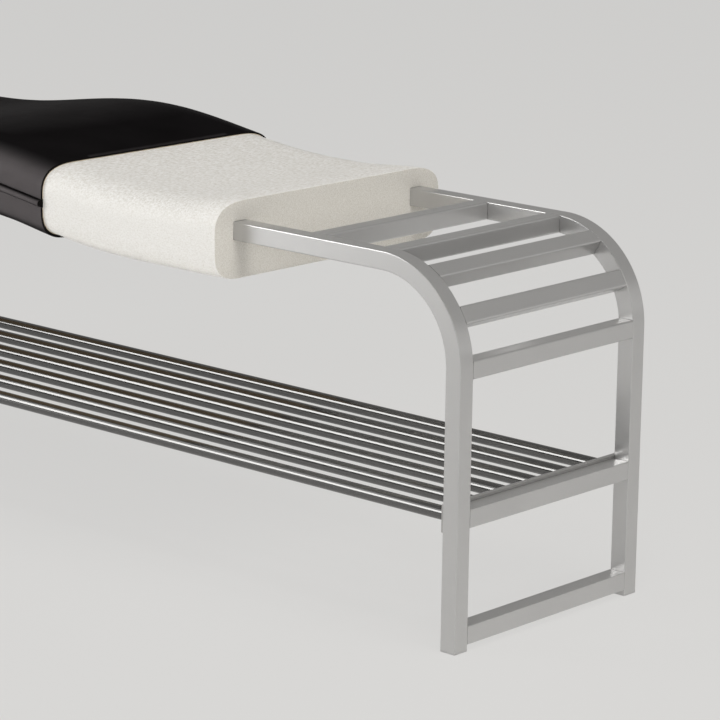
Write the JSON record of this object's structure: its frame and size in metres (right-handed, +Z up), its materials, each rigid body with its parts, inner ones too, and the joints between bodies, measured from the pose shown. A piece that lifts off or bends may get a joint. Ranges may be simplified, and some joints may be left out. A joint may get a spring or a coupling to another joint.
{
  "type": "shoe storage bench",
  "caption": "Bench with a wavy padded leather seat on a bent square-tube frame, with a rod rack for shoes below; one end is cut away to the foam and the bare frame.",
  "frame": {"origin": "on the floor, in the middle of the bench's length and depth", "axes": "+X along the bench towards its bare end, +Y towards its back, +Z up"},
  "size_m": [1.5138, 0.3776, 0.4534],
  "materials": {
    "frame_steel": "satin silver-grey coat",
    "rack_steel": "satin silver-grey coat",
    "rod_chrome": "polished plating",
    "plug_plastic": "moulded",
    "foam": "bare open-cell foam",
    "leather": "smooth, soft sheen"
  },
  "bodies": {
    "root": {"front_frame_tube": "frame_steel", "rear_frame_tube": "frame_steel", "right_slat_1": "frame_steel", "right_slat_2": "frame_steel", "right_slat_3": "frame_steel", "right_slat_4": "frame_steel", "right_slat_5": "frame_steel", "left_slat_1": "frame_steel", "left_slat_2": "frame_steel", "left_slat_3": "frame_steel", "left_slat_4": "frame_steel", "left_slat_5": "frame_steel", "middle_slat_1": "frame_steel", "middle_slat_2": "frame_steel", "middle_slat_3": "frame_steel", "right_rack_crossbar": "frame_steel", "right_floor_crossbar": "frame_steel", "left_rack_crossbar": "frame_steel", "left_floor_crossbar": "frame_steel", "right_rack_end_bar": "rack_steel", "left_rack_end_bar": "rack_steel", "rack_rod_1": "rod_chrome", "rack_rod_2": "rod_chrome", "rack_rod_3": "rod_chrome", "rack_rod_4": "rod_chrome", "rack_rod_5": "rod_chrome", "rack_rod_6": "rod_chrome", "right_front_leg_plug": "plug_plastic", "right_rear_leg_plug": "plug_plastic", "left_front_leg_plug": "plug_plastic", "left_rear_leg_plug": "plug_plastic", "seat_foam": "foam", "leather_upper_panel": "leather", "leather_lower_panel": "leather", "leather_end_panel": "leather", "front_piping": "leather", "rear_piping": "leather"}
  },
  "joints": []
}
